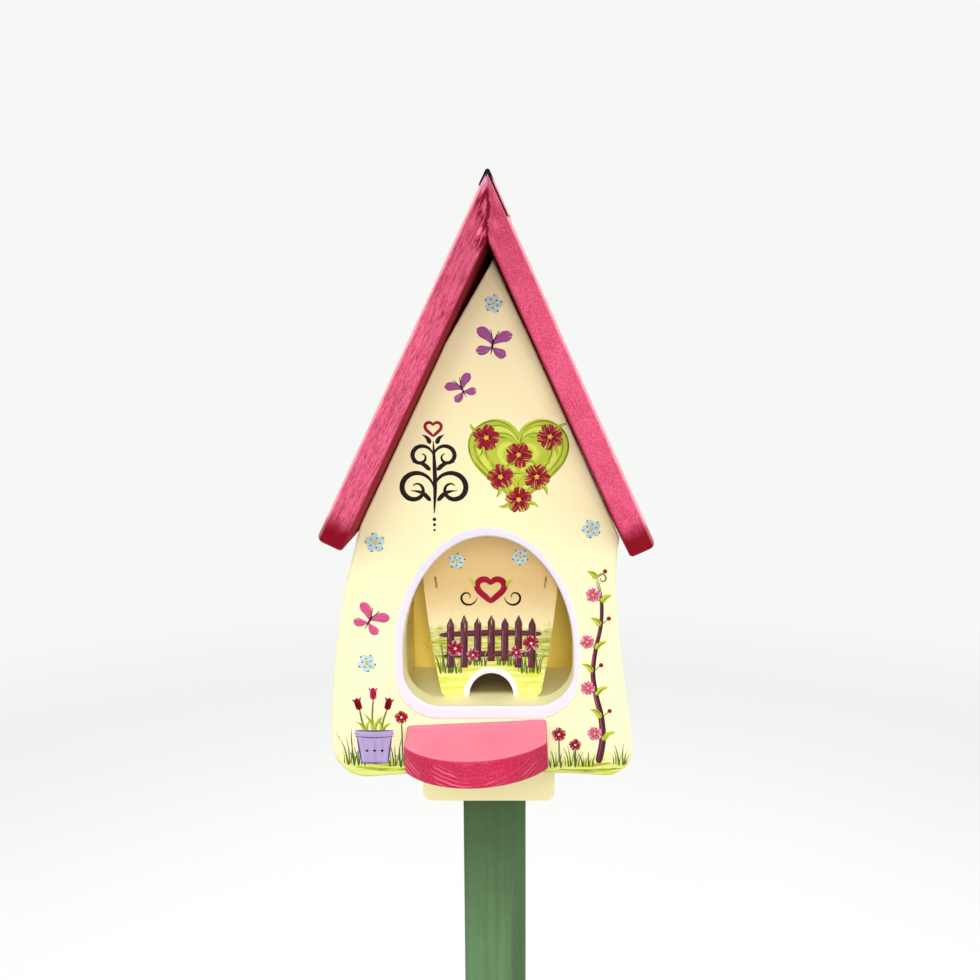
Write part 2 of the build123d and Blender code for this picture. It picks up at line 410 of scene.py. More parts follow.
def front_material():
    """Cream front with a painted reflection of the red roof that turns the gable peach, and a yellow-green
    wash brushed along its foot.
    """
    wires = Finish("front_cream")
    colour, height, gloss = wires.cream(wires.place)
    lying = wires.turned(QUARTER, (HOUSE_X, FACE_Y, HOUSE_Z))
    strokes = wires.grain(lying, scale=330.0, stretch=16.0)["Streaks"]
    # Painted reflection of the red roof, rising into the gable
    gable_reflection = wires.height_band(110, 300, 20)
    foot = wires.height_band(25, 6, 16)
    wash = (GREEN_WASH, foot, wires.spread(strokes, 0.5, 1.0))
    colour = wires.layers(colour, (CREAM_PEACH_ROOF_REFLECTION, gable_reflection, 0.65), wash)
    return wires.finish(colour, gloss, height, depth=0.1 * MM)


def hopper_material():
    """Cream hopper front darkened towards its top by painted shade of the arch, with a meadow wash over its
    foot.
    """
    wires = Finish("hopper_cream")
    colour, height, gloss = wires.cream(wires.place)
    lying = wires.turned(QUARTER, (HOUSE_X, HOPPER_Y, HOUSE_Z))
    strokes = wires.grain(lying, scale=300.0, stretch=7.0)
    # Painted shade: the arch above darkens the hopper towards its top
    arch_shade = wires.height_band(SILL + 32, SILL + 88, 12)
    foot = wires.height_band(SILL + 56, SILL + 48, 16)
    shaded = wires.height_band(SILL + 16, SILL + 32, 14)
    green = wires.layers(GREEN_WASH, (MEADOW, shaded, wires.remap(strokes["Fibres"], 0.0, 0.8, 0.2, 1.0)))
    wash = (green, foot, wires.spread(strokes["Streaks"], 0.55, 1.0))
    colour = wires.layers(colour, (HOPPER_ARCH_SHADE, arch_shade, 0.9), wash)
    return wires.finish(colour, gloss, height, depth=0.1 * MM)


def mitre_crack(wires):
    """Jagged crack along the mitre, from the ridge to the inner ridge: 1 in the crack and 0 beside it."""
    lean = wires.turned(MITRE_LEAN, RIDGE)
    jag = wires.sums("SUBTRACT", wires.noise(wires.place, 190.0, 4.0, 0.7), 0.5)
    off = wires.sums("ABSOLUTE", wires.times_plus(jag, 6.0 * MM, wires.parts(lean)[0]))
    opens = wires.spread(wires.band(lean, DOWN, 9 * MM, 17 * MM, 4 * MM), 0.3, 1.0)
    return wires.times(opens, wires.remap(off, 0.4 * MM, 1.4 * MM, 1.0, 0.0))


def roof_material(name, side, slope, length, streaky, speckled):
    """Red roof paint with grain along the slope, torn fibres and a crack at the mitre, a dark lower end,
    painted shade on the underside, and a pale outer arris at the front and back that is a painted highlight,
    partly worn paint. streaky is how strongly the grain shows, and speckled how strongly the paint's own
    grain does."""
    wires = Finish(name, 0.08)
    along = wires.turned(side * slope, RIDGE)
    grain = wires.grain(along, scale=640.0, stretch=8.0)
    film = wires.film(along, patch=70.0, peel=980.0)
    knots = wires.grain(along, scale=420.0, stretch=5.0)["Streaks"]
    from_ridge = wires.distance(wires.parts(wires.place)[0], RIDGE_X)
    beside = wires.remap(from_ridge, 4 * MM, 12 * MM, streaky, 0.0)
    upper = wires.band(along, UP, -120 * MM, -20 * MM)
    lower = wires.band(along, DOWN, length - 25 * MM, length - 10 * MM, 8 * MM)
    # Painted shade: faces that look down are darkened
    under = wires.remap(wires.facing_up(), -0.15, -0.4)
    at_front = wires.band(wires.place, FORWARD, -ROOF_FRONT - 5 * MM, -ROOF_FRONT - 2 * MM, 4 * MM)
    at_back = wires.band(wires.place, BACKWARD, ROOF_BACK - 5 * MM, ROOF_BACK - 2 * MM, 4 * MM)
    ends = wires.sums("MAXIMUM", at_front, at_back)
    # Painted highlight along the outer arris at the front and back, partly worn paint
    outer = wires.band(along, (side, 0, 0), -2.6 * MM, -0.8 * MM, 1.2 * MM)
    chipped = wires.band(along, (side, 0, 0), -5.6 * MM, -3.2 * MM, 3 * MM)
    near_ridge = wires.band(along, UP, -16 * MM, -8 * MM, 6 * MM)
    crack = mitre_crack(wires)
    colour = wires.layers(
        ROOF_RED,
        (ROOF_DEEP, grain["Streaks"], streaky),
        (ROOF_PALE, grain["Fibres"], 0.58 * streaky),
        (ROOF_PALE, film["Speckle"], speckled),
        (ROOF_PALE, film["Mottle"], 0.2),
        (ROOF_DEEP, upper, 0.38),
        (MITRE_RED, beside, wires.remap(knots, 0.62, 0.9)),
        (ROOF_PALE, beside, wires.remap(knots, 0.35, 0.1)),
        (ROOF_END, lower),
        (ROOF_UNDERSIDE_SHADE, under),
        (ROOF_ARRIS_HIGHLIGHT, outer, ends, wires.spread(lower, 0.9, 0.35)),
        (ROOF_PEELED, chipped, near_ridge, ends, streaky),
        (MITRE_RED, crack),
    )
    height = wires.times_plus(grain["Height"], streaky, wires.times(film["Height"], 0.7))
    height = wires.times_plus(crack, -1.5, height)
    roughness = wires.times_plus(under, 0.4, wires.spread(film["Mottle"], 0.42, 0.54), clamp=True)
    return wires.finish(colour, roughness, height, depth=0.35 * MM)


def landing_material():
    """Perch board with year rings on its bowed front, stronger towards its foot, a darker right end, and a
    smooth top made paler as painted light from above and the sky's sheen, under a thin gloss."""
    wires = Finish("landing_red", 0.1)
    middle = (LANDING_LOW.x + LANDING_HIGH.x) / 2
    about = wires.turned(LANDING_TILT, (middle - 4 * MM, 0.0, LANDING_HIGH.z + 42 * MM))
    rings = wires.group(GROWTH_RINGS, vector=about, spacing=3.0 * MM, wobble=4.0 * MM)["Rings"]
    film = wires.film(wires.place, patch=60.0, peel=900.0)
    up = wires.facing_up()
    edge = wires.remap(wires.sums("ABSOLUTE", up), 0.35, 0.8, 1.0, 0.0)
    fading = wires.remap(film["Mottle"], 0.1, 0.9, 0.15, 1.0)
    low = wires.band(wires.place, DOWN, -LANDING_HIGH.z + 4 * MM, -LANDING_HIGH.z + 16 * MM, 4 * MM)
    ringed = wires.times(wires.remap(rings, 0.6, 1.0), edge, fading, wires.spread(low, 0.35, 1.0))
    right_end = wires.band(wires.place, RIGHT, middle + 10 * MM, LANDING_HIGH.x, 8 * MM)
    # Painted light: faces that look up are paler, for overhead light and the sky's sheen
    painted_top_light = wires.remap(up, 0.55, 0.9)
    colour = wires.layers(
        LANDING_RED,
        (wires.layers(LANDING_DEEP, (LANDING_RED, film["Mottle"], 0.25)), rings, 0.5),
        (ROOF_PALE, ringed, 0.72),
        (LANDING_DEEP, right_end, 0.7),
        (ROOF_PALE, film["Speckle"], 0.16),
        (LANDING_TOP_PAINTED_LIGHT, painted_top_light),
    )
    wires.feed(wires.shader["Coat Weight"], wires.times(painted_top_light, 0.3))
    wires.shader["Coat Roughness"].default_value = 0.2
    height = wires.times_plus(ringed, 1.4, film["Height"])
    return wires.finish(colour, wires.spread(film["Mottle"], 0.36, 0.4), height, depth=0.12 * MM)


def post_material():
    """Green stain that lets long upright grain and a few pale checks show, with painted shade under the
    house, and darker on its right side."""
    wires = Finish("post_green")
    grain = wires.grain(wires.place, scale=210.0, stretch=60.0)
    checks = wires.grain(wires.turned(0.0, (0.3, 0.1, 0.2)), scale=620.0, stretch=45.0)
    film = wires.film(wires.place, patch=22.0, peel=700.0)
    # Painted shade under the house, strongest just below it
    painted_house_shade = wires.height_band(-190, -30, 30)
    right_side = wires.band(wires.place, RIGHT, 9 * MM, 16 * MM, 5 * MM)
    darkening = wires.sums("MAXIMUM", wires.times(painted_house_shade, 0.75), wires.times(right_side, 0.6))
    colour = wires.layers(
        POST_GREEN,
        (POST_DEEP, grain["Streaks"], 0.4),
        (POST_PALE, checks["Streaks"], 0.25),
        (POST_PALE, film["Mottle"], 0.25),
        (POST_DARK, darkening),
    )
    height = wires.times_plus(checks["Height"], 0.6, grain["Height"])
    return wires.finish(colour, wires.spread(grain["Fibres"], 0.55, 0.75), height, depth=0.35 * MM)


def strip_material():
    """Matt near-black weather strip with dust, red stain, a pale pink band along its right leg's outer edge
    that is smeared roof paint and painted highlight, and a line of peeled paint along its left leg."""
    wires = Finish("strip_black", 0.08)
    film = wires.film(wires.place, patch=60.0, peel=1400.0)
    right_leg = wires.turned(RIGHT_SLOPE, RIDGE)
    # Smeared pink paint and painted highlight along the right leg's outer edge
    smear_and_highlight = wires.band(right_leg, RIGHT, -0.55 * MM, -0.15 * MM, 0.4 * MM)
    lower = wires.band(right_leg, DOWN, 5 * MM, 10 * MM, 2 * MM)
    stained = wires.band(wires.place, RIGHT, RIDGE_X + 2 * MM, RIDGE_X + 8 * MM)
    left_leg = wires.turned(-LEFT_SLOPE, RIDGE)
    under = wires.band(left_leg, (1, 0, -0.06), 0.95 * MM, 1.25 * MM, 0.4 * MM)
    on_left = wires.band(wires.place, LEFT, -RIDGE_X + 1.0 * MM, -RIDGE_X + 1.6 * MM)
    colour = wires.layers(
        STRIP_BLACK,
        (STRIP_DUSTY, film["Mottle"], 0.3),
        (STRIP_STAINED, stained, 0.6),
        (ROOF_ARRIS_HIGHLIGHT, smear_and_highlight, lower, 0.92),
        (ROOF_PEELED, under, on_left),
    )
    return wires.finish(colour, wires.spread(film["Mottle"], 0.6, 0.8), film["Height"], depth=0.12 * MM)


def staple_material():
    """Dull staple wire with brown rust in patches."""
    wires = Finish("staple_wire", 0.5)
    film = wires.film(wires.place, patch=500.0, peel=2600.0)
    wires.feed(wires.shader["Metallic"], wires.remap(film["Mottle"], 0.2, 0.9, 0.8, 0.1))
    colour = wires.layers(STAPLE_PALE, (STAPLE_RUST, film["Mottle"]))
    return wires.finish(colour, wires.spread(film["Mottle"], 0.4, 0.8), film["Height"], depth=0.05 * MM)


def brush_material():
    """Artist's paint laid with a small brush: bristle streaks let the ground show as the brush runs dry."""
    wires = Finish("brush_paint", 0.06)
    names = ("paint", "ground", "seed")
    paint, ground, seed = (wires.add("Attribute", attribute_name=name).outputs for name in names)
    _, marks = wires.bristles(seed["Fac"])
    dry = wires.sums("SUBTRACT", 1.0, paint["Alpha"])
    cover = wires.remap(wires.sums("SUBTRACT", marks["Streaks"], dry), -0.04, 0.16)
    pooled = wires.remap(marks["Pooling"], 0.4, 0.75, 0.0, 0.2)
    colour = wires.mix(cover, ground["Color"], wires.mix(pooled, paint["Color"], INK, "MULTIPLY"))
    gloss = wires.remap(marks["Streaks"], 0.3, 0.7, 0.34, 0.5)
    return wires.finish(colour, gloss, marks["Streaks"], depth=0.08 * MM)


def border_material():
    """Thick lavender-white border paint with faint brush drag, thinning out at its outer edge."""
    wires = Finish("border_white")
    run, marks = wires.bristles(0.4)
    colour = wires.mix(wires.remap(marks["Streaks"], 0.3, 0.7, 0.0, 0.35), BORDER_WHITE, BORDER_LILAC)
    body = wires.times_plus(marks["Pooling"], 1.2, run[1])
    colour = wires.mix(wires.remap(body, 0.6, 2.4), CREAM, colour)
    gloss = wires.remap(marks["Pooling"], 0.3, 0.7, 0.3, 0.46)
    return wires.finish(colour, gloss, marks["Streaks"], depth=0.1 * MM)


def dress_house():
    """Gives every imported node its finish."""
    left_red = roof_material("roof_left_red", -1, LEFT_SLOPE, LEFT_ROOF_LENGTH, 1.0, 0.25)
    right_red = roof_material("roof_right_red", 1, RIGHT_SLOPE, RIGHT_ROOF_LENGTH, 0.25, 0.45)
    room = ("back_panel", "left_wall", "right_wall", "hopper_left_cheek", "hopper_right_cheek")
    staples = ("hopper_left_staple", "hopper_right_staple")
    for material, slot, nodes in (
        (room_material(), "cream_paint", room),
        (floor_material(), "cream_paint", ["floor_board"]),
        (block_material(), "cream_paint", ["mounting_block"]),
        (front_material(), "cream_paint", ["front_panel"]),
        (hopper_material(), "cream_paint", ["hopper_front"]),
        (left_red, "red_paint", ["left_roof_board"]),
        (right_red, "red_paint", ["right_roof_board"]),
        (landing_material(), "red_paint", ["landing_board"]),
        (post_material(), "green_paint", ["post"]),
        (strip_material(), "ridge_rubber", ["ridge_strip"]),
        (staple_material(), "staple_wire", staples),
    ):
        for node in nodes:
            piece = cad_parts[node]
            piece.data.materials.clear()
            piece.data.materials.append(material)


# Lines and the faces of a section carried along one
def run_along(line):
    """How far along a line each of its points is."""
    return np.concatenate([[0], np.cumsum(np.linalg.norm(np.diff(line, axis=0), axis=1))])


def evened(curve, samples):
    """Points spaced evenly by length along a curve."""
    run = run_along(curve)
    even = np.linspace(0, run[-1], samples)
    return np.stack([np.interp(even, run, curve[:, k]) for k in range(2)], axis=1)


def smooth_path(points, samples):
    """Even samples of the cardinal spline through these points: each span is a cubic whose end slopes
    are half the chord between its neighbours."""
    padded = np.vstack([2 * points[0] - points[1], points, 2 * points[-1] - points[-2]])
    oversampled = 4
    place = np.linspace(0, len(points) - 1, samples * oversampled)
    span = np.minimum(place.astype(int), len(points) - 2)
    t = (place - span)[:, None]
    before, start, end, after = (padded[span + k] for k in range(4))
    curve = 0.5 * (
        2 * start + (end - before) * t
        + (2 * before - 5 * start + 4 * end - after) * t ** 2
        + (3 * start - before - 3 * end + after) * t ** 3
    )
    return evened(curve, samples)


def section_faces(rows, count, closed=False):
    """Quads of a section of count points carried over rows places, and each one's place in the section.
    They go once round where the line is closed, and have a face at each end where it isn't."""
    row, column = np.meshgrid(np.arange(rows if closed else rows - 1), np.arange(count), indexing="ij")
    after = (row + 1) % rows
    beside = (column + 1) % count
    corners = [row * count + column, after * count + column, after * count + beside, row * count + beside]
    faces = np.stack(corners, -1).reshape(-1, 4).tolist()
    if not closed:
        last = (rows - 1) * count
        faces += [list(range(count)), list(range(last, last + count))[::-1]]
    return faces, column.reshape(-1)


def on_face(place, lift, face_y):
    """Points in metres of places in house millimetres, lifted off an upright face."""
    x = HOUSE_X + place[..., 0] * MM
    y = face_y - np.broadcast_to(lift * MM, x.shape)
    z = HOUSE_Z + place[..., 1] * MM
    return np.stack([x, y, z], axis=-1).reshape(-1, 3)


def along_and_across(line, across):
    """For every point of a carried section, its place along the line and across it."""
    return np.stack(np.broadcast_arrays(run_along(line)[:, None], across), -1).reshape(-1, 2)


def store_uv(mesh, runs):
    """UV map named stroke from a pair of numbers for each point."""
    layer = mesh.uv_layers.new(name="stroke")
    corners = np.zeros(len(mesh.loops), np.int32)
    mesh.loops.foreach_get("vertex_index", corners)
    layer.data.foreach_set("uv", runs[corners].astype(np.float32).ravel())


def add_object(name, data):
    """Object for a mesh, lamp or camera, put in the scene."""
    thing = bpy.data.objects.new(name, data)
    bpy.context.scene.collection.objects.link(thing)
    return thing


def place_piece(name, mesh, material):
    """Object for a finished mesh, riding on the house."""
    mesh.materials.append(material)
    piece = add_object(name, mesh)
    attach(piece, "root")


# How wide a brush leaves its mark along a stroke, as shares of its full width
def blunt(t):
    """Full width between rounded ends."""
    return np.sqrt(np.maximum(1 - np.abs(2 * t - 1) ** 6, 0))


def swelling(t):
    """Thin, thick in the middle, thin again."""
    return 0.16 + 0.84 * np.sin(math.pi * t) ** 0.8


def teardrop(t):
    """Rounded start that tapers to a point."""
    return np.sin(math.pi * t ** 0.55) ** 0.8 * (1 - 0.25 * t)


def blade(t):
    """Broad foot that tapers to a point."""
    return (1 - t) ** 0.7 * (0.5 + 0.5 * blunt(np.minimum(t * 6, 0.5)))


def wing(t):
    """Narrow at the body and round at the tip."""
    return np.sin(math.pi * t ** 1.7) ** 0.6 * 0.95 + 0.05


def disc(t):
    """Round, as wide as it is long."""
    return np.sqrt(np.maximum(1 - (2 * t - 1) ** 2, 0))


def picket(t):
    """Even width that ends in a picket's point."""
    return np.where(t < 0.86, 1.0, np.maximum(1 - (t - 0.86) / 0.14, 0.0) * 0.9 + 0.1)


class Brushwork:
    """Paint strokes on one upright face, gathered as arrays and joined into one mesh.
    A stroke's section is a low crown (1 minus the square of the place across) on a thin rim."""

    across = np.array([-1.0, -1.0, -0.62, 0.0, 0.62, 1.0, 1.0])
    rim = 0.05
    sunk = 0.06
    film = 0.07
    layer_lift = 0.05
    crown_lift, broadest = 0.05, 4.0
    least_width = 0.06
    row_length = 1.1
    rows_allowed = (9, 70)
    seed_step, seed_span = 0.731, 17

    def __init__(self, name, face_y, ground):
        self.name = name
        self.face_y = face_y
        self.ground = ground
        self.points, self.faces, self.walls = [], [], []
        self.paints, self.grounds, self.seeds, self.runs = [], [], [], []
        self.total = 0

    def stroke(self, points, width, paint, profile=swelling, load=0.8, end_load=None, ground=None, layer=0):
        """One stroke along points in house millimetres. load is how wet the brush is, from 0 to 1, at the
        stroke's start, and end_load at its end. layer lifts it over earlier ones."""
        points = np.asarray(points, float)
        rows = int(np.clip(run_along(points)[-1] / self.row_length, *self.rows_allowed))
        count = len(self.across)
        line = smooth_path(points, rows)
        slope = np.gradient(line, axis=0)
        slope /= np.maximum(np.linalg.norm(slope, axis=1, keepdims=True), 1e-9)
        normal = np.stack([-slope[:, 1], slope[:, 0]], axis=1)
        half = width / 2 * np.maximum(profile(np.linspace(0, 1, rows)), self.least_width)
        crown = self.crown_lift * min(width, self.broadest) / self.broadest
        thick = self.film + self.layer_lift * layer + crown
        lift = self.rim * (1 + layer) + thick * (1 - self.across ** 2)
        lift[[0, -1]] = -self.sunk
        place = line[:, None, :] + (normal * half[:, None])[:, None, :] * self.across[None, :, None]
        faces, column = section_faces(rows, count)
        self.faces += [[self.total + corner for corner in face] for face in faces]
        self.walls += ((column == 0) | (column >= count - 2)).tolist() + [True, True]
        paints = np.tile(np.array(paint), (rows * count, 1))
        paints[:, 3] = np.repeat(np.linspace(load, load if end_load is None else end_load, rows), count)
        seed = len(self.seeds) * self.seed_step % self.seed_span
        self.points.append(on_face(place, lift, self.face_y))
        self.runs.append(along_and_across(line, half[:, None] * self.across))
        self.paints.append(paints)
        self.grounds.append(np.tile(np.array(ground or self.ground), (rows * count, 1)))
        self.seeds.append(np.full(rows * count, seed))
        self.total += rows * count

    def finish(self, material, slot):
        """Joins the strokes into one mesh, riding on the house."""
        mesh = bpy.data.meshes.new(self.name)
        mesh.from_pydata(np.concatenate(self.points).tolist(), [], self.faces)
        mesh.polygons.foreach_set("use_smooth", np.logical_not(self.walls))
        for name, colours in (("paint", self.paints), ("ground", self.grounds)):
            layer = mesh.color_attributes.new(name, "FLOAT_COLOR", "POINT")
            layer.data.foreach_set("color", np.concatenate(colours).astype(np.float32).ravel())
        seeds = mesh.attributes.new("seed", "FLOAT", "POINT")
        seeds.data.foreach_set("value", np.concatenate(self.seeds).astype(np.float32))
        store_uv(mesh, np.concatenate(self.runs))
        place_piece(self.name, mesh, material)


def from_here(base, angle, distance):
    """Point at this angle in degrees and distance from another."""
    turn = math.radians(angle)
    return (base[0] + distance * math.cos(turn), base[1] + distance * math.sin(turn))


def curved(base, angle, length, bend):
    """Three points of a stroke that leaves base at an angle and bends sideways by a share of its length."""
    middle = from_here(from_here(base, angle, length / 2), angle + 90, bend * length)
    return [base, middle, from_here(base, angle, length)]


def spiral(centre, radius, inner, turns, hand, way):
    """Points of a spiral that starts on the side away from hand, turns this way and shrinks evenly."""
    t = np.linspace(0, 1, 30)
    reach = radius + (inner - radius) * t
    angle = (math.pi if hand > 0 else 0.0) + way * turns * math.tau * t
    return np.stack([centre[0] + reach * np.cos(angle), centre[1] + reach * np.sin(angle)], axis=1)


def outline_heart(work, centre, width, samples, gaps, line_width, *look, **more):
    """Both halves of a heart's outline as strokes, short of its dip and its point by these gaps in turns:
    x is the cube of a sine and z a sum of four cosines."""
    dip, point = gaps
    size = width / 32
    for start, end in ((dip, 0.5 - point), (1 - dip, 0.5 + point)):
        t = math.tau * np.linspace(start, end, samples)
        x = 16 * np.sin(t) ** 3
        z = 13 * np.cos(t) - 5 * np.cos(2 * t) - 2 * np.cos(3 * t) - np.cos(4 * t)
        line = np.stack([centre[0] + size * x, centre[1] + size * z], axis=1)
        work.stroke(line, line_width, *look, **more)


def leaf(work, base, angle, length, width, bend=0.12, layer=1):
    """Two-tone leaf: one loaded stroke and a darker side."""
    work.stroke(curved(base, angle, length, bend), width, LEAF, teardrop, 0.9, 0.7, layer=layer)
    shade = curved(from_here(base, angle + 90, -0.14 * width), angle, length * 0.92, bend)
    work.stroke(shade, width * 0.3, LEAF_DEEP, swelling, 0.72, 0.55, ground=LEAF, layer=layer + 1)


def dot(work, centre, size, paint, layer=2):
    """Round dab left by the brush's tip."""
    ends = [(centre[0] - size * 0.5, centre[1]), centre, (centre[0] + size * 0.5, centre[1])]
    work.stroke(ends, size, paint, disc, 0.9, layer=layer)


def rosette(work, centre, radius, turn, colours=RED_ROSETTE, ground=None, layer=3):
    """Folk rosette: five round petals, a darker stroke in each, and a dotted eye."""
    paint, deep, eye = colours
    for k in range(5):
        angle = turn + 72 * k
        inner = from_here(centre, angle, radius * 0.16)
        petal = curved(inner, angle, radius * 0.86, 0.05)
        work.stroke(petal, radius * 0.9, paint, blunt, 0.78, 0.6, ground=ground, layer=layer)
        vein = curved(inner, angle + 9, radius * 0.6, 0.1)
        work.stroke(vein, radius * 0.22, deep, teardrop, 0.8, 0.6, ground=paint, layer=layer + 1)
    dot(work, centre, radius * 0.36, eye, layer + 2)


def forget_me_not(work, centre, radius, turn=0.0):
    """Pale-blue flower of five dabs with ink dots between them."""
    for k in range(5):
        dot(work, from_here(centre, turn + 72 * k, radius * 0.6), radius * 0.86, SKY_BLUE, 1)
    for k in range(10):
        reach = radius * (0.5 if k % 2 else 0.95)
        dot(work, from_here(centre, turn + 36 * k + 12, reach), 1.15, INK_BLUE, 3)
    dot(work, centre, radius * 0.4, YOLK, 3)


def butterfly(work, centre, angle, size, paint=MAUVE):
    """Butterfly with four wing strokes, an ink body and two feelers."""
    for side in (-1, 1):
        upper = curved(from_here(centre, angle, size * 0.06), angle + side * 54, size * 0.56, -side * 0.1)
        lower = curved(centre, angle + side * 112, size * 0.42, side * 0.08)
        work.stroke(upper, size * 0.28, paint, wing, 0.9, 0.72, layer=1)
        work.stroke(lower, size * 0.25, paint, wing, 0.86, 0.68, layer=1)
        tip = from_here(centre, angle + side * 14, size * 0.42)
        work.stroke([from_here(centre, angle, size * 0.14), tip], 0.6, INK, blunt, 0.9, layer=3)
        dot(work, tip, 0.9, INK, 3)
    body = [from_here(centre, angle, size * 0.2), centre, from_here(centre, angle + 180, size * 0.22)]
    work.stroke(body, size * 0.065, INK, teardrop, 0.85, layer=3)


def grass_tuft(work, foot, height, spread, ground=None):
    """Fan of seven grass blades from one foot, each of its own height and lean."""
    for k in range(7):
        side = (k - 3) / 3
        uneven = math.sin(2.4 * k + 0.7 * foot[0])
        tall = height * (0.72 + 0.28 * uneven) * (1 - 0.2 * side * side)
        base = (foot[0] + side * spread * 0.45 + 0.8 * uneven, foot[1] - 0.8 * uneven)
        line = curved(base, 90 - side * 18 + 9 * uneven, tall, side * 0.1)
        work.stroke(line, 1.15 + 0.35 * uneven, GRASS, blade, 0.8, 0.58, ground, layer=1)


def tulip(work, foot, height, lean, paint, deep):
    """Tulip: a stem, two leaves and a cup of three petals."""
    aim = 90 + lean
    top = from_here(foot, aim, height)
    work.stroke(curved(foot, aim, height, 0.04), 1.3, LEAF_DEEP, blunt, 0.9, layer=1)
    leaf(work, foot, aim + 24, height * 0.66, 3.4, -0.12)
    leaf(work, foot, aim - 24, height * 0.58, 3.2, 0.12)
    for side in (-1, 1):
        petal = curved(from_here(top, aim, -1.0), aim + side * 20, 10.0, -side * 0.16)
        work.stroke(petal, 5.0, paint, teardrop, 0.88, 0.7, layer=2)
    work.stroke(curved(top, aim, 8.6, 0.0), 4.8, deep, swelling, 0.76, 0.6, ground=paint, layer=3)


def paint_heart(work, centre, width):
    """Leafy heart: nested brush lines fill it, fine dark lines go round it, and blossoms lie on it."""
    brush, samples = 7.5, 40
    step = brush * 0.62
    for k, inset in enumerate(np.arange(brush / 2, width / 2, step)):
        paint = LEAF_BRIGHT if k % 3 == 1 else LEAF
        look = (brush, paint, blunt, 0.86, 0.74)
        outline_heart(work, centre, width - 2 * inset, samples, (0.01, 0.0), *look)
    for inset, fine in ((0.6, 1.3), (4.6, 0.9), (12.0, 1.1)):
        look = (fine, LEAF_DEEP, swelling, 0.7, 0.56)
        outline_heart(work, centre, width - 2 * inset, samples, (0.02, 0.01), *look, ground=LEAF, layer=1)
    petals = width * 0.13
    blossoms = ((-0.32, 0.2), (0.31, 0.21), (0.0, 0.03), (-0.18, -0.19), (0.18, -0.19), (0.0, -0.42))
    for k, (x, z) in enumerate(blossoms):
        at = (centre[0] + x * width, centre[1] + z * width)
        for turn in (0, 140, 250):
            aim = turn + 40 * k
            leaf(work, from_here(at, aim, petals * 0.7), aim, petals * 0.95, 3.2, 0.14, layer=2)
        rosette(work, at, petals, k * 31.0, ground=LEAF_BRIGHT)


def paint_scrollwork(work, centre, size):
    """Ink ornament, the same on both hands: spirals that rise from a stem, leaf strokes and a small heart."""
    x, z = centre
    for hand in (-1, 1):
        for aside, above, radius, inner, turns, width in (
            (0.24, -0.18, 0.24, 0.05, 1.35, 3.7),
            (0.16, 0.24, 0.16, 0.035, 1.2, 3.0),
        ):
            middle = (x + hand * size * aside, z + size * above)
            curl = spiral(middle, size * radius, size * inner, turns, hand, -hand)
            work.stroke(curl, width, INK, swelling, 0.94, 0.78)
        for height, angle, reach in ((-0.34, 28, 0.3), (0.06, 24, 0.26), (0.4, 50, 0.16)):
            foot = (x + hand * size * 0.04, z + size * height)
            aim = angle if hand > 0 else 180 - angle
            work.stroke(curved(foot, aim, size * reach, hand * 0.14), 3.4, INK, teardrop, 0.92, 0.74)
    stem = [(x + sway, z + size * height) for sway, height in ((0.0, -0.5), (0.8, -0.1), (0.0, 0.44))]
    work.stroke(stem, 2.9, INK, swelling, 0.94, 0.8)
    outline_heart(work, (x, z + size * 0.6), size * 0.21, 30, (0, 0), 2.2, BLOSSOM, blunt, 0.92, 0.8)
    for k in range(3):
        dot(work, (x, z - size * (0.58 + 0.07 * k)), 2.6 - 0.5 * k, INK)


def paint_vine(work, foot, height):
    """Climbing vine: a mauve-brown stem of two tones with leaves, buds and blossoms."""
    t = np.linspace(0, 1, 9)
    sway = 3.4 * np.sin(t * 3.0 * math.pi)
    stem = np.stack([foot[0] + sway - 3.0 * t, foot[1] + height * t], axis=1)
    work.stroke(stem, 5.4, BARK, blade, 0.9, 0.76, layer=0)
    work.stroke(stem + (1.1, 0), 1.5, BARK_DEEP, swelling, 0.8, 0.62, ground=BARK, layer=1)
    work.stroke(stem - (0.9, 0), 0.8, ROSE_PINK, swelling, 0.62, 0.5, ground=BARK, layer=1)
    for k, joint in list(enumerate(stem.tolist()))[1:]:
        side = 1 if k % 2 else -1
        leaf(work, joint, 90 - side * 52, 12.0 - 0.4 * k, 4.8, side * 0.14)
        bud = from_here(joint, 90 + side * 48, 8.0)
        work.stroke([joint, bud], 0.8, LEAF_DEEP, swelling, 0.86)
        if k % 2:
            rosette(work, bud, 5.2, k * 20.0, PINK_ROSETTE)
        else:
            dot(work, bud, 3.2, BLOSSOM, 3)
    curl = spiral((joint[0] + 4.0, joint[1]), 4.0, 0.8, 1.2, 1, -1)
    work.stroke(curl, 1.2, LEAF_DEEP, swelling, 0.88)


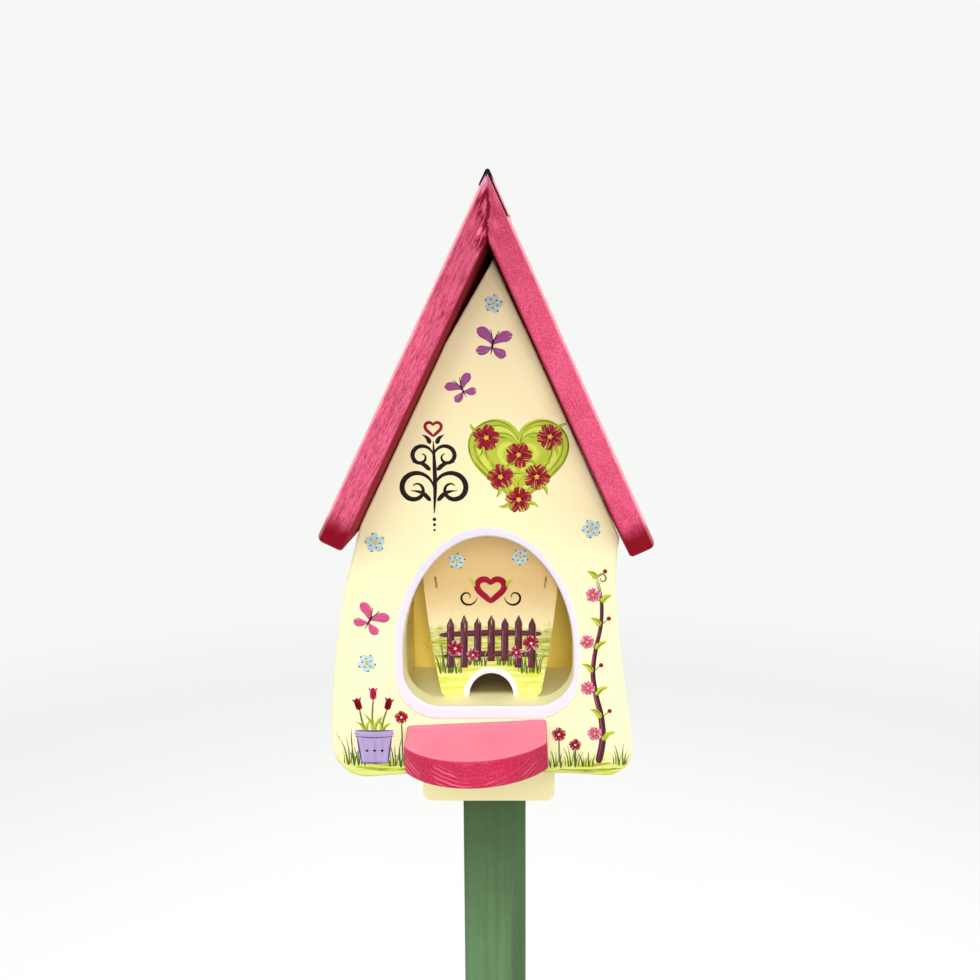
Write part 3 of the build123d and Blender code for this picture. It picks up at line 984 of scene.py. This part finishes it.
def paint_flower_pot(work, foot, width, height):
    """Lilac flower pot with ink lines, and tulips in it."""
    x, z = foot
    rim = z + height
    for k, lean, tall, paint, deep in (
        (-1, 15, 20.0, BLOSSOM, BLOSSOM_DEEP),
        (0, 0, 27.0, ROSE_PINK, BLOSSOM),
        (1, -14, 20.0, BLOSSOM, BLOSSOM_DEEP),
    ):
        tulip(work, (x + k * width * 0.2, rim - 1.0), tall, lean, paint, deep)
    columns = 7
    for k in range(columns):
        share = 2 * (k + 0.5) / columns - 1
        side = [(x + share * width * 0.5, rim), (x + share * width * 0.36, z)]
        work.stroke(side, width / columns * 1.5, LILAC, blunt, 0.92, 0.74, layer=3)

    def across(half, level, sag=0.0):
        """Line across the pot that sags in its middle."""
        return [(x - width * half, level), (x, level - sag), (x + width * half, level)]

    work.stroke(across(0.58, rim, 0.8), 4.6, LILAC, blunt, 0.92, 0.8, layer=4)
    lines = [across(0.56, rim - 2.4, 1.0), across(0.56, rim + 2.2, 0.6), across(0.37, z)]
    lines += [[(x + side * width * 0.5, rim - 2.6), (x + side * width * 0.37, z)] for side in (-1, 1)]
    for line in lines:
        work.stroke(line, 1.1, LILAC_DEEP, swelling, 0.84, 0.66, LILAC, layer=5)
    for k in (-1, 0, 1):
        dot(work, (x + k * width * 0.22, z + height * 0.42), 2.2, INK, 5)


def paint_front():
    """Motifs and grass on the front panel."""
    work = Brushwork("front_painting", FACE_Y, CREAM)
    paint_heart(work, (21.0, 236.0), 70.0)
    paint_scrollwork(work, (-38.0, 224.0), 54.0)
    paint_vine(work, (79.0, 12.0), 138.0)
    paint_flower_pot(work, (-84.0, 12.0), 25.0, 23.0)
    butterfly(work, (3.0, 312.0), 80.0, 27.0)
    butterfly(work, (-86.0, 118.0), 60.0, 26.0, ROSE_PINK)
    butterfly(work, (-17.0, 282.0), 118.0, 22.0)
    forget_me_not(work, (4.0, 341.0), 6.0)
    forget_me_not(work, (-80.0, 176.0), 7.0, 20.0)
    forget_me_not(work, (-88.0, 88.0), 6.6, 50.0)
    forget_me_not(work, (72.0, 186.0), 6.6, 35.0)
    for x, tall in ((-101, 32), (-95, 20), (-69, 26), (-61, 18), (48, 16), (60, 21), (70, 14), (95, 20)):
        grass_tuft(work, (x, 7.0 + 0.04 * abs(x)), tall, 10.0)
    for x, z, radius in ((50.0, 34.0, 5.2), (62.0, 26.0, 4.4), (-64.0, 47.0, 4.8)):
        work.stroke([(x, z - 2), (x + 0.5, 12.0)], 1.0, GRASS, blunt, 0.86)
        rosette(work, (x, z), radius, 10.0, POPPY)
    for start, end, z in ((-98, -52, 8.0), (-92, -60, 12.0), (96, 50, 7.0), (88, 56, 11.0)):
        line = [(start, z + 1.0), ((start + end) / 2, z - 1.0), (end, z)]
        work.stroke(line, 2.4, MEADOW, swelling, 0.62, 0.5, ground=GREEN_WASH)
    return work


def paint_hopper():
    """Picket fence with poppies and a heart on the hopper's front."""
    work = Brushwork("hopper_painting", HOPPER_Y, CREAM_WARM)
    fence = SILL + 24.0
    for z, reach in ((fence + 8.0, 35.0), (fence + 24.0, 38.0)):
        work.stroke([(-reach, z - 1), (0, z + 0.8), (reach, z)], 4.4, BARK, blunt, 0.9, 0.78)
        shade = [(-reach, z - 2.6), (0, z - 0.9), (reach, z - 1.6)]
        work.stroke(shade, 1.3, BARK_DEEP, swelling, 0.84, 0.66, ground=BARK, layer=1)
    for k in range(7):
        x = HOPPER_X - 30.0 + 10.0 * k
        foot = fence + (3.0 if abs(x - HOPPER_X) < NOTCH_HALF + 3 else -2.0)
        top = fence + 36.0 + 2.0 * (k % 2)
        work.stroke([(x, foot), (x + 0.4, top)], 5.4, BARK, picket, 0.88, 0.7, layer=2)
        shade = [(x + 1.6, foot), (x + 1.6, top - 4)]
        work.stroke(shade, 1.3, BARK_DEEP, swelling, 0.84, 0.66, ground=BARK, layer=3)
        gleam = [(x - 1.5, foot + 2), (x - 1.2, top - 5)]
        work.stroke(gleam, 0.8, LILAC, swelling, 0.56, 0.46, ground=BARK, layer=3)
    for x, tall in ((-34, 34), (-26, 22), (25, 24), (33, 34), (-15, 20), (-7, 15), (9, 16), (17, 20)):
        grass_tuft(work, (x, fence - (0.0 if abs(x) < 20 else 6.0)), tall, 8.0, GREEN_WASH)
    for x, z, radius in ((-26.0, 92.0, 6.2), (-13.0, 87.0, 4.8), (19.0, 89.0, 5.0), (30.0, 96.0, 6.0)):
        rosette(work, (x, z), radius, 20.0, POPPY, BORDER_WHITE, 4)
    outline_heart(work, (HOPPER_X, 137.0), 20.0, 30, (0, 0), 4.6, BLOSSOM, blunt, 0.9, 0.76, layer=1)
    for side in (-1, 1):
        curl = spiral((HOPPER_X + side * 17, 131.0), 7.0, 1.4, 1.1, side, side)
        work.stroke(curl, 1.7, INK, swelling, 0.94, 0.8)
        leaf(work, (HOPPER_X + side * 11, 139.0), 90 - side * 42, 9.0, 3.2, side * 0.1)
    forget_me_not(work, (-24.0, 158.0), 6.0)
    forget_me_not(work, (22.0, 161.0), 6.0, 40.0)
    return work


def opening_line(samples):
    """Points round the opening and their outward directions: half an ellipse, straight sides, two round
    corners and the sill, each part sampled and then spaced evenly by length."""
    arch = np.linspace(0, math.pi, 240)
    corner = np.linspace(0, QUARTER, 60)
    inner = OPENING_HALF - SILL_CORNER
    rise = SILL + SILL_CORNER
    line = np.concatenate([
        np.stack([OPENING_X + OPENING_HALF * np.cos(arch), SPRINGING + ARCH_RISE * np.sin(arch)], 1),
        np.stack([OPENING_X - inner - SILL_CORNER * np.cos(corner), rise - SILL_CORNER * np.sin(corner)], 1),
        np.stack([OPENING_X + inner + SILL_CORNER * np.sin(corner), rise - SILL_CORNER * np.cos(corner)], 1),
        [(OPENING_X + OPENING_HALF, SPRINGING)],
    ])
    even = evened(line, samples + 1)[:-1]
    slope = np.roll(even, -1, axis=0) - np.roll(even, 1, axis=0)
    slope /= np.linalg.norm(slope, axis=1, keepdims=True)
    return even, np.stack([slope[:, 1], -slope[:, 0]], axis=1)


def notch_line(samples):
    """Points along the notch's half ellipse and their outward directions."""
    turn = np.linspace(0, math.pi, samples)
    arch = np.stack([HOPPER_X + NOTCH_HALF * np.cos(turn), SILL + NOTCH_RISE * np.sin(turn)], 1)
    outward = np.stack([np.cos(turn) / NOTCH_HALF, np.sin(turn) / NOTCH_RISE], 1)
    return arch, outward / np.linalg.norm(outward, axis=1, keepdims=True)


def border_section(width, rounding):
    """Section of the painted border, as offset from the edge and lift over the face: it starts inside the
    hole, follows the rounded arris, runs out flat to its width and closes inside the wood."""
    film, thinning = 0.07, 0.05
    turn = np.linspace(-0.1, 1.0, 7) * QUARTER
    radius = rounding + film
    arris = np.stack([rounding - radius * np.cos(turn), radius * np.sin(turn) - rounding], 1)
    flat = np.linspace(0.25, 1.0, 5)[:, None] * (width - rounding) + rounding
    crown = film - thinning * np.linspace(0.2, 1.0, 5)[:, None] ** 3
    under = np.array([[width, -0.2], [rounding, -0.3], [0.5, -rounding - 0.1]])
    return np.concatenate([arris, np.concatenate([flat, crown], 1), under])


# The section's last points, which lie under the paint
UNDERSIDE = 3


def make_border(name, line, outward, widths, rounding, face_y, closed, material):
    """Border paint as a section carried along a line. Its width changes from place to place."""
    sections = np.stack([border_section(width, rounding) for width in widths])
    place = line[:, None, :] + outward[:, None, :] * sections[..., :1]
    faces, column = section_faces(len(line), sections.shape[1], closed)
    mesh = bpy.data.meshes.new(name)
    mesh.from_pydata(on_face(place, sections[..., 1], face_y).tolist(), [], [face[::-1] for face in faces])
    smooth = np.zeros(len(faces), bool)
    smooth[:len(column)] = column < sections.shape[1] - UNDERSIDE - 1
    mesh.polygons.foreach_set("use_smooth", smooth)
    store_uv(mesh, along_and_across(line, widths[:, None] - sections[..., 0]))
    place_piece(name, mesh, material)


def hand_wobble(rows, reach, *waves):
    """Slow unevenness of a hand-drawn edge, a sum of a few sines round the line."""
    t = np.linspace(0, math.tau, rows, endpoint=False)
    return reach * sum(np.sin(wave * t + wave) / (k + 1) for k, wave in enumerate(waves))


def paint_borders():
    """Lavender-white border round the opening, wider over the sill, and a thin one round the notch."""
    white = border_material()
    line, outward = opening_line(samples=360)
    x, z = outward.T
    widths = 6.25 - 0.65 * x - 1.35 * z + 2.0 * z ** 2 + hand_wobble(len(line), 0.25, 5, 9, 14)
    make_border("opening_border", line, outward, widths, FRONT_ROUND, FACE_Y, True, white)
    line, outward = notch_line(samples=70)
    widths = 4.2 + 0.8 * outward[:, 1] ** 3 + hand_wobble(len(line), 0.2, 3, 7)
    make_border("notch_border", line, outward, widths, NOTCH_ROUND, HOPPER_Y, False, white)


def paint_house():
    """All brushwork on the house."""
    paint = brush_material()
    paint_front().finish(paint, "cream_paint")
    paint_hopper().finish(paint, "cream_paint")
    paint_borders()


# Studio
FLOOR_REACH = 14.0
FLOOR_RINGS, FLOOR_SPOKES = 24, 64
FADE_START, FADE_END = 1.2, 4.5
FLOOR_PALE = (0.74, 0.74, 0.72, 1.0)
FLOOR_BOUNCE = (0.2, 0.2, 0.19, 1.0)
BACKDROP = (0.93, 0.94, 0.92, 1.0)
SKY_COLOUR = (0.96, 0.98, 1.0, 1.0)
SKY_LOW, SKY_HIGH = 0.24, 0.98
HOUSE_MIDDLE = (0.0, 0.0, 1.25)
LAMP_COLOUR = (1.0, 0.98, 0.95)

# Each lamp's name, place and size in metres, and watts
LAMPS = (
    ("high_panel_light", (-0.25, -2.4, 2.85), 1.2, 18.5),
    ("fill_panel_light", (0.15, -1.6, 1.4), 0.4, 8.4),
    ("left_panel_light", (-1.9, -1.2, 2.2), 1.2, 8.0),
    ("right_panel_light", (2.1, -1.2, 1.3), 1.2, 10.5),
    ("left_back_light", (-2.3, 1.2, 2.0), 1.2, 13.0),
    ("right_back_light", (2.3, 1.2, 2.0), 1.2, 13.0),
    ("back_panel_light", (0.0, 2.6, 2.3), 1.6, 22.0),
)

# Camera of the photograph
PICTURE = 980
FOCAL_PIXELS = 944
LENS_AXIS_X = 524
SENSOR = 36.0
CAMERA_AT = (0.0227, -0.701, 1.3906)
CAMERA_DOWN = 8.8


def seen_plainly(wires):
    """1 for what the camera, gloss or glass sees, and 0 for the light that falls on things."""
    path = wires.add("LightPath").outputs
    seen = wires.sums("ADD", path["Is Camera Ray"], path["Is Glossy Ray"])
    return wires.sums("ADD", seen, path["Is Transmission Ray"], clamp=True)


def make_floor():
    """Pale floor, a disc of rings whose far part fades into the white surroundings for the camera."""
    rings = np.linspace(0.02, FLOOR_REACH, FLOOR_RINGS)
    turn = np.linspace(0, math.tau, FLOOR_SPOKES, endpoint=False)
    radius, angle = np.meshgrid(rings, turn, indexing="ij")
    points = np.stack([radius * np.cos(angle), radius * np.sin(angle), np.zeros_like(radius)], -1)
    faces, _ = section_faces(FLOOR_RINGS, FLOOR_SPOKES)
    mesh = bpy.data.meshes.new("floor")
    mesh.from_pydata(points.reshape(-1, 3).tolist(), [], faces[:-1])
    floor = add_object("floor", mesh)
    wires = Finish("floor_pale")
    seen = seen_plainly(wires)
    wires.feed(wires.shader["Base Color"], wires.mix(seen, FLOOR_BOUNCE, FLOOR_PALE))
    wires.shader["Roughness"].default_value = 0.8
    reach = wires.vector("LENGTH", wires.place, result="Value")
    far = wires.times(wires.remap(reach, FADE_START, FADE_END), seen)
    glow = wires.add("Emission", {"Color": BACKDROP, "Strength": 1.0}).outputs[0]
    nodes = wires.tree.nodes
    blend = wires.add("MixShader", {0: far, 1: nodes["Principled BSDF"].outputs[0], 2: glow})
    wires.feed(nodes["Material Output"].inputs["Surface"], blend.outputs[0])
    mesh.materials.append(wires.material)


def make_world():
    """Soft sky that is brighter overhead, and plain white where the camera, gloss or glass sees it."""
    world = bpy.data.worlds.new("studio")
    bpy.context.scene.world = world
    world.use_nodes = True
    wires = Wires(world.node_tree)
    up = wires.parts(wires.add("TexCoord").outputs["Generated"])[2]
    sky = wires.remap(up, -0.3, 0.6, SKY_LOW, SKY_HIGH)
    lit = wires.add("Background", {"Color": SKY_COLOUR, "Strength": sky}).outputs[0]
    plain = wires.add("Background", {"Color": BACKDROP, "Strength": 1.0}).outputs[0]
    blend = wires.add("MixShader", {0: seen_plainly(wires), 1: lit, 2: plain})
    wires.feed(world.node_tree.nodes["World Output"].inputs["Surface"], blend.outputs[0])


def make_lamps():
    """Square soft lights, turned to shine at the house."""
    for name, place, size, watts in LAMPS:
        lamp = bpy.data.lights.new(name, "AREA")
        lamp.size = size
        lamp.energy = watts
        lamp.color = LAMP_COLOUR
        holder = add_object(name, lamp)
        holder.location = place
        x, y, z = np.array(HOUSE_MIDDLE) - np.array(place)
        holder.rotation_euler = (math.atan2(math.hypot(x, y), -z), 0, math.atan2(y, x) - QUARTER)


def make_camera():
    """Camera where the photograph was taken from."""
    lens = bpy.data.cameras.new("camera")
    lens.sensor_width = SENSOR
    lens.lens = SENSOR * FOCAL_PIXELS / PICTURE
    lens.shift_x = (PICTURE / 2 - LENS_AXIS_X) / PICTURE
    camera = add_object("camera", lens)
    camera.location = CAMERA_AT
    camera.rotation_euler = (math.radians(90 - CAMERA_DOWN), 0, 0)
    bpy.context.scene.camera = camera


dress_house()
paint_house()
make_floor()
make_world()
make_lamps()
make_camera()
bpy.context.scene.view_settings.view_transform = "Standard"
